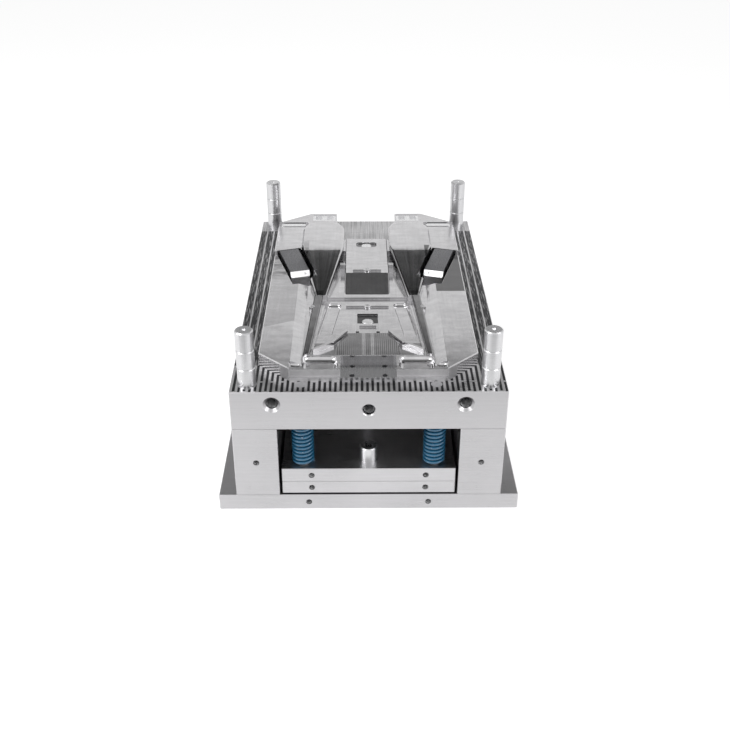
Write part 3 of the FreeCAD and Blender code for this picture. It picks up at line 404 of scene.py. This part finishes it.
def milled_plate():
    """Cutter lines on the upward faces, their near-black and bright stripes painted reflection, and
    ground steel on all others.
    """
    steel = ground("plate_milled", ground_colour, along="x")
    side = steel.calc("ABSOLUTE", steel.x)
    is_front = steel.calc("LESS_THAN", steel.y, front_stripe_end)
    is_back = steel.calc("MAXIMUM",
                         steel.calc("GREATER_THAN", steel.y, core_high.y - back_zone_depth),
                         steel.calc("LESS_THAN", side, middle_half_width))
    is_back = every(steel, is_back, steel.calc("SUBTRACT", 1.0, is_front))
    fine = steel.span(steel.noise((500, 5, 60), 2.0), 0.4, 0.6, 0.55, 0.9)
    pattern = steel.blend(is_front, side_bands(steel, side), front_comb(steel))
    pattern = steel.blend(is_back, pattern, fine)
    uneven = steel.span(steel.noise((30, 9, 30), 3.0), 0.35, 0.7, 1.0, 0.72)
    # painted reflection: the cutter lines drawn as near-black and bright stripes
    top = steel.blend(every(steel, pattern, uneven), stripe_painted_dark, stripe_painted_light)
    plain = steel.shader.inputs["Base Color"].links[0].from_socket
    steel.colour(steel.blend(steel.upward(), plain, top))
    return steel


# ---- core insert
def within(steel, value, low, high, soft=0.0015):
    """1 between low and high, with soft ends."""
    rise = steel.span(value, low - soft, low + soft)
    fall = steel.span(value, high - soft, high + soft, 1.0, 0.0)
    return every(steel, rise, fall)


def shade_zone(steel, shade, mask, level):
    """Multiplies the running shade by level inside the mask."""
    return steel.calc("MULTIPLY", shade, steel.span(mask, 0.0, 1.0, 1.0, level))


def shade_flats(steel, shade, side, tone_and_shade_blotches):
    """Painted shade on the flats: the right one dark at the back; the left one grey, with a darker
    blotch at the back.
    """
    right = steel.calc("GREATER_THAN", steel.x, 0.0)
    left = steel.calc("SUBTRACT", 1.0, right)
    flat = every(steel, steel.span(steel.facing[2], *flat_facing),
                 steel.calc("GREATER_THAN", side, flat_inner_x))
    dark = every(steel, flat, right, within(steel, steel.y, right_dark_front, flat_back))
    shade = shade_zone(steel, shade, dark, right_dark_level)
    slant = steel.calc("ADD", steel.y, steel.calc("MULTIPLY", steel.x, left_grey_slant))
    grey = every(steel, flat, left, within(steel, slant, left_grey_front, left_grey_back))
    shade = shade_zone(steel, shade, grey, left_grey_level)
    dark = every(steel, flat, left, within(steel, steel.y, left_dark_front, flat_back, zone_fade),
                 steel.span(tone_and_shade_blotches, 0.38, 0.6))
    return shade_zone(steel, shade, dark, left_dark_level)


def shade_domes(steel, shade, side):
    """Painted shade in streaks that fan out from a point in front of each dome's tip."""
    turn = steel.calc("DIVIDE", steel.calc("SUBTRACT", side, dome_tip[0]),
                      steel.calc("SUBTRACT", steel.y, fan_centre_y))
    right = steel.calc("GREATER_THAN", steel.x, 0.0)
    streaks = steel.noise_at(steel.join(steel.calc("MULTIPLY", turn, fan_lines), right, 0.0), 4.0, 0.5)
    dome = every(steel, within(steel, steel.y, dome_tip[1], dome_brow_y, zone_fade),
                 steel.calc("GREATER_THAN", steel.z, plate_top + dome_height),
                 within(steel, side, *dome_sides))
    return shade_zone(steel, shade, dome, steel.span(streaks, 0.35, 0.65, *fan_levels))


def shade_slope(steel, shade, side):
    """Painted shade on the long slope in the middle: a little darker, with faint lines down it."""
    slope = every(steel, steel.span(steel.facing[1], *slope_facing),
                  steel.calc("LESS_THAN", side, slope_half_width))
    lines = steel.span(steel.noise((120, 3, 3), 3.0), 0.35, 0.65, *slope_line_levels)
    shade = shade_zone(steel, shade, slope, slope_level)
    return shade_zone(steel, shade, slope, lines)


def shade_ridges(steel, shade, side):
    """Painted shade: the two leaning ridges are darker than the floor beside them."""
    run = steel.calc("SUBTRACT", ridge_back_y, steel.y)
    middle = steel.calc("ADD", ridge_back_x, steel.calc("MULTIPLY", ridge_lean, run))
    off = steel.calc("ABSOLUTE", steel.calc("SUBTRACT", side, middle))
    ridge = every(steel, steel.calc("LESS_THAN", off, ridge_half_width),
                  within(steel, steel.y, ridge_front_y, ridge_back_y, 0.002),
                  steel.calc("GREATER_THAN", steel.z, plate_top + ridge_height))
    return shade_zone(steel, shade, ridge, ridge_level)


def shade_floors(steel, shade, side):
    """Painted shade on the floors of the gate pockets, and on the floor that faces each border rib."""
    for x0, x1, y0, y1, height, level in painted_shade_floors:
        z = plate_top + height
        spot = every(steel, within(steel, side, x0, x1, 0.0003), within(steel, steel.y, y0, y1, 0.0003),
                     within(steel, steel.z, z - floor_tolerance, z + floor_tolerance, 0.0002))
        shade = shade_zone(steel, shade, spot, level)
    return shade


def shade_pad(steel, shade, side):
    """The pad's fine cutter lines, their light and dark painted as reflection, with two lighter guides
    near its middle that are painted light as well.
    """
    pad = every(steel, within(steel, steel.y, pad_front_y, pad_back_y, 0.0005),
                steel.calc("LESS_THAN", side, pad_half_width),
                within(steel, steel.z, plate_top + pad_heights[0], plate_top + pad_heights[1], 0.0002))
    wave = steel.calc("PINGPONG", steel.calc("DIVIDE", steel.x, pad_stripe_pitch), 0.5)
    lines = steel.span(wave, 0.15, 0.35, *pad_line_levels)
    guides = within(steel, side, pad_guide_x - pad_guide_width, pad_guide_x + pad_guide_width, 0.0008)
    lines = steel.calc("ADD", lines, steel.calc("MULTIPLY", guides, pad_guide_gain))
    return shade_zone(steel, shade, pad, lines)


def core_finish():
    """Polished steel with painted shade in zones on its flats, dome fans, pad and slopes, and a painted
    highlight on its edges.
    """
    steel = ground("core_polished", core_colour, rough=core_rough, along="y", streaks=0.05)
    side = steel.calc("ABSOLUTE", steel.x)
    # blotchy noise: random tone over the core, and the outline of the left flat's painted shade
    tone_and_shade_blotches = steel.noise((22, 60, 22), 4.0, 0.6)
    shade = steel.span(tone_and_shade_blotches, 0.3, 0.7, 0.9, 1.08)
    shade = shade_flats(steel, shade, side, tone_and_shade_blotches)
    for shade_part in (shade_domes, shade_slope, shade_ridges, shade_floors, shade_pad):
        shade = shade_part(steel, shade, side)
    plain = scaled(steel, steel.base, shade)
    # painted highlight along the sharp edges of the core
    steel.colour(steel.blend(steel.edge_highlight_mask(core_edge_radius), plain, highlight_and_chip_colour))
    waves = steel.noise((16, 11, 16), 2.0, 0.5)
    steel.bump(steel.calc("ADD", waves, steel.calc("MULTIPLY", steel.lines, core_line_share)),
               core_relief)
    wall = every(steel, steel.calc("LESS_THAN", steel.facing[2], 0.3),
                 steel.calc("LESS_THAN", steel.y, core_low.y + front_wall_depth))
    steel.roughness(steel.span(wall, 0.0, 1.0, core_rough, front_wall_rough))
    return steel


# ---- springs
def coil_mesh(centre_x, centre_y, low, high, inner, outer):
    """A flat-wire coil with rounded wire corners and closed, ground ends."""
    height = (high - low) / spring_turns
    wire = spring_wire_share * height
    rise = high - low - wire
    corner = spring_wire_corner
    section = []
    for cx, cz, start in ((outer - corner, wire - corner, 0), (inner + corner, wire - corner, 90),
                          (inner + corner, corner, 180), (outer - corner, corner, 270)):
        for step in range(3):
            angle = math.radians(start + 45 * step)
            section.append((cx + corner * math.cos(angle), cz + corner * math.sin(angle)))
    rings = spring_turns * spring_steps + 1
    points, faces = [], []
    for i in range(rings):
        angle = 2 * math.pi * i / spring_steps
        share = i / (rings - 1)
        for radius, z in section:
            points.append((centre_x + radius * math.cos(angle), centre_y + radius * math.sin(angle),
                           low + share * rise + z))
    n = len(section)
    for i in range(rings - 1):
        for j in range(n):
            k = (j + 1) % n
            faces.append((i * n + j, i * n + k, (i + 1) * n + k, (i + 1) * n + j))
    faces.append(tuple(range(n)))
    faces.append(tuple(reversed(range((rings - 1) * n, rings * n))))
    return points, faces


def add_mesh(name, points, faces, finish, body, smooth=True):
    mesh = bpy.data.meshes.new(name)
    mesh.from_pydata(points, [], faces)
    mesh.validate()
    mesh.materials.append(finish.material)
    piece = bpy.data.objects.new(name, mesh)
    bpy.context.scene.collection.objects.link(piece)
    if smooth:
        mesh.shade_smooth()
        mesh.set_sharp_from_angle(angle=math.radians(smooth_angle))
    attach(piece, body)
    return piece


def spring_paint():
    lacquer = Finish("spring_lacquer", metallic=0.0)
    cloud = lacquer.noise((90, 90, 90), 3.0)
    chips = lacquer.span(lacquer.noise((300, 300, 300), 4.0), 0.66, 0.72)
    blue = lacquer.blend(cloud, spring_deep, spring_pale)
    lacquer.colour(lacquer.blend(chips, blue, highlight_and_chip_colour))
    lacquer.roughness(lacquer.span(cloud, 0.3, 0.7, 0.2, 0.32))
    lacquer.shader.inputs["Coat Weight"].default_value = 0.5
    lacquer.shader.inputs["Coat Roughness"].default_value = 0.12
    lacquer.bump(cloud, lacquer_relief)
    return lacquer


# ---- threads
def thread_mesh(start, inward, radius, depth, pitch, bottom=True):
    """An internal thread from start along inward, with an end disc when the hole is blind."""
    inward = Vector(inward)
    across = inward.orthogonal().normalized()
    up = inward.cross(across)
    major, minor = radius - wall_gap, radius - thread_depth_share * pitch
    steps = int(depth / pitch * thread_steps)

    def point(turn_step, reach, shift):
        angle = 2 * math.pi * turn_step / thread_steps
        along = min(max(turn_step * pitch / thread_steps + shift, 0.0), depth)
        return start + inward * along + reach * (across * math.cos(angle) + up * math.sin(angle))

    roots = [tuple(point(i, major, 0.0)) for i in range(steps + 1)]
    crests = [tuple(point(i, minor, pitch / 2)) for i in range(steps + 1)]
    points = roots + crests
    n = steps + 1
    faces = [(i, i + 1, n + i + 1, n + i) for i in range(steps)]
    faces += [(n + i, n + i + 1, i + 1 + thread_steps, i + thread_steps)
              for i in range(steps - thread_steps)]
    if bottom:
        end = len(points)
        points += [tuple(point(i, major, depth)) for i in range(thread_steps)]
        faces.append(tuple(range(end, end + thread_steps)))
    return points, faces


def add_thread(name, start, inward, radius, depth, pitch, body, finish, bottom=True):
    points, faces = thread_mesh(Vector(start), inward, radius, depth, pitch, bottom)
    thread = add_mesh(name, points, faces, finish, body, smooth=False)


def mount_threads(finish):
    """Threads in the holes that the record states as mounts."""
    for mount in frame["record"]["mounts"]:
        if mount["kind"] != "threaded_hole":
            continue
        family = mount["name"].split("_")[0]
        radius, length = mount["dims"]["r_mm"] / 1000, mount["dims"]["length_mm"] / 1000
        inward = -Vector(mount["axis"])
        place = Vector(mount["pos_m"])
        pitch = small_pitch if family == "spacer" else lift_pitch
        if family == "knockout":
            start = Vector((place.x, place.y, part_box("ejector_plate")[0].z))
        else:
            hole_depth = lift_hole_depth if family == "lift" else small_depth
            face_y = plate_low.y if inward.y > 0 else plate_high.y
            start = Vector((place.x, face_y + inward.y * (hole_depth - length), place.z))
        add_thread("thread_" + mount["name"], start, inward, radius, length, pitch,
                   "ejector_set" if family == "knockout" else "base", finish,
                   bottom=family != "knockout")


def handling_threads(finish):
    """Threads in the small holes of the three plates whose holes are no mounts."""
    rows = (("clamp_plate", clamp_hole_x, "base"), ("ejector_plate", ejector_hole_x, "ejector_set"),
            ("ejector_retainer_plate", ejector_hole_x, "ejector_set"))
    for node, x, body in rows:
        low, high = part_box(node)
        for sx, side in ((-1, "left"), (1, "right")):
            for y, inward, end in ((low.y, (0, 1, 0), "front"), (high.y, (0, -1, 0), "back")):
                add_thread(f"thread_{node}_{end}_{side}", (sx * x, y, (low.z + high.z) / 2), inward,
                           small_radius, small_depth, small_pitch, body, finish)


def return_springs(finish):
    """Four springs, made in place of the CAD node and fixed to the base; nothing here squashes them as
    the ejector set rises.
    """
    for sx, side in ((-1, "left"), (1, "right")):
        for sy, end in ((-1, "front"), (1, "back")):
            x = sx * (spring_high.x - spring_outer)
            y = sy * (spring_high.y - spring_outer)
            points, faces = coil_mesh(x, y, spring_low.z, spring_high.z, spring_inner, spring_outer)
            spring = add_mesh(f"spring_{end}_{side}", points, faces, finish, "base")
            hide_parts("return_springs")
            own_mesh(spring)


# ---- finishes for the CAD nodes
paint(ground("plate_ground", ground_colour, along="x"),
      "clamp_plate", "spacer_block_left", "spacer_block_right")
paint(ground("ejector_ground", ejector_colour, along="x"), "ejector_plate", "ejector_retainer_plate")
paint(milled_plate(), "b_plate")
paint(core_finish(), "core_insert")
paint(ground("insert_ground", insert_colour, rough=0.25, along="y"),
      "front_gate_insert", "rear_gate_insert", "rear_lock_plate_left", "rear_lock_plate_right",
      "rear_wear_strip_left", "rear_wear_strip_right")
paint(ground("wear_ground", wear_colour, rough=0.3, along="y"), "front_wear_plate")
lifters = ground("lifter_ground", lifter_colour, rough=0.3, along="y")
# painted highlight: faces that turn to the front are near white, the rest keeps the lifters' dark grey
front_highlight = lifters.span(lifters.facing[1], -0.3, -0.45)
lifters.colour(lifters.blend(front_highlight, lifters.base, nose_highlight_colour))
paint(lifters, *(f"lifter_{part}_{side}" for part in ("block", "rod", "foot", "shoe")
                 for side in ("left", "right")))
paint(turned("pin_ground", pin_colour, rough=0.3),
      "guide_pins", "ejector_guide_pins", "return_pins", "ejector_pins")
paint(turned("post_turned", post_colour, rough=0.3), "limit_posts", "support_pillars", "stop_buttons")
paint(ground("screw_black", screw_colour, rough=0.4, along="z"),
      "clamp_screws", "support_pillar_screws", "ejector_plate_screws", "limit_post_screws",
      "core_insert_screws", "front_wear_plate_screws")
paint(turned("bush_bronze", bronze_colour), "ejector_guide_bushes")
return_springs(spring_paint())
# painted shade: threads and blind hole ends are near black, as the shade inside the holes
thread_shade_finish = ground("thread_painted_shade", thread_shade_colour, rough=0.45, along="y")
mount_threads(thread_shade_finish)
handling_threads(thread_shade_finish)


# ---- stage
def add_plane(name, centre, size_x, size_y, rotation=(0, 0, 0)):
    bpy.ops.mesh.primitive_plane_add(size=1, location=centre, rotation=rotation)
    plane = bpy.context.object
    plane.name = name
    plane.scale = (size_x, size_y, 1)
    return plane


def seen_directly(tree):
    """1 for rays from the camera, from mirrors and through glass."""
    path = tree.nodes.new("ShaderNodeLightPath")
    seen = path.outputs["Is Camera Ray"]
    for kind in ("Is Glossy Ray", "Is Transmission Ray"):
        either = tree.nodes.new("ShaderNodeMath")
        either.operation = "MAXIMUM"
        tree.links.new(seen, either.inputs[0])
        tree.links.new(path.outputs[kind], either.inputs[1])
        seen = either.outputs[0]
    return seen


def floor_material():
    """A pale floor that the camera and mirrors see as white, and that keeps the shadow."""
    material = bpy.data.materials.new("floor_white")
    material.use_nodes = True
    tree = material.node_tree
    tree.nodes.clear()
    output = tree.nodes.new("ShaderNodeOutputMaterial")
    diffuse = tree.nodes.new("ShaderNodeBsdfDiffuse")
    diffuse.inputs["Color"].default_value = (floor_level, floor_level, floor_level, 1)
    glow = tree.nodes.new("ShaderNodeEmission")
    strength = tree.nodes.new("ShaderNodeMath")
    strength.operation = "MULTIPLY"
    strength.inputs[1].default_value = floor_glow
    tree.links.new(seen_directly(tree), strength.inputs[0])
    tree.links.new(strength.outputs[0], glow.inputs["Strength"])
    add = tree.nodes.new("ShaderNodeAddShader")
    tree.links.new(diffuse.outputs[0], add.inputs[0])
    tree.links.new(glow.outputs[0], add.inputs[1])
    tree.links.new(add.outputs[0], output.inputs["Surface"])
    return material


def white_world():
    """A white background that lights the part less than it shows."""
    world = bpy.data.worlds.new("studio")
    bpy.context.scene.world = world
    world.use_nodes = True
    tree = world.node_tree
    background = tree.nodes["Background"]
    strength = tree.nodes.new("ShaderNodeMapRange")
    strength.inputs["To Min"].default_value = world_light
    strength.inputs["To Max"].default_value = world_shown
    tree.links.new(seen_directly(tree), strength.inputs["Value"])
    tree.links.new(strength.outputs[0], background.inputs["Strength"])
    background.inputs["Color"].default_value = (1, 1, 1, 1)


def add_light(name, place, target, size, power):
    light = bpy.data.lights.new(name, "AREA")
    light.energy = power
    light.size = size
    lamp = bpy.data.objects.new(name, light)
    lamp.location = place
    lamp.rotation_mode = "QUATERNION"
    lamp.rotation_quaternion = (Vector(target) - Vector(place)).to_track_quat("-Z", "Y")
    bpy.context.scene.collection.objects.link(lamp)


def card_material(level):
    material = bpy.data.materials.new("card_grey")
    material.use_nodes = True
    tree = material.node_tree
    shader = tree.nodes["Principled BSDF"]
    shader.inputs["Base Color"].default_value = (level, level, level, 1)
    shader.inputs["Roughness"].default_value = 0.9
    return material


def add_card(name, centre, size_x, size_y, rotation, material):
    """A card that shows only in reflections."""
    card = add_plane(name, centre, size_x, size_y, rotation)
    card.data.materials.append(material)
    card.visible_camera = False
    card.visible_diffuse = False
    card.visible_shadow = False


floor = add_plane("floor", (0, 0, 0), floor_size, floor_size)
floor.data.materials.append(floor_material())
white_world()
for name, place, size, power in lamps:
    add_light(name, place, lamp_target, size, power)
for name, centre, size_x, size_y, turn, level in cards:
    add_card(name, centre, size_x, size_y, (turn, 0, 0), card_material(level))


# ---- camera
def add_camera():
    data = bpy.data.cameras.new("camera")
    data.sensor_width = camera_sensor
    data.lens = camera_lens
    data.clip_end = camera_reach
    camera = bpy.data.objects.new("camera", data)
    forward = Vector((math.sin(camera_turn) * math.cos(camera_dip),
                      math.cos(camera_turn) * math.cos(camera_dip), -math.sin(camera_dip)))
    camera.location = camera_place
    camera.rotation_mode = "QUATERNION"
    camera.rotation_quaternion = forward.to_track_quat("-Z", "Y")
    bpy.context.scene.collection.objects.link(camera)
    bpy.context.scene.camera = camera


add_camera()
bpy.context.scene.view_settings.view_transform = "Standard"
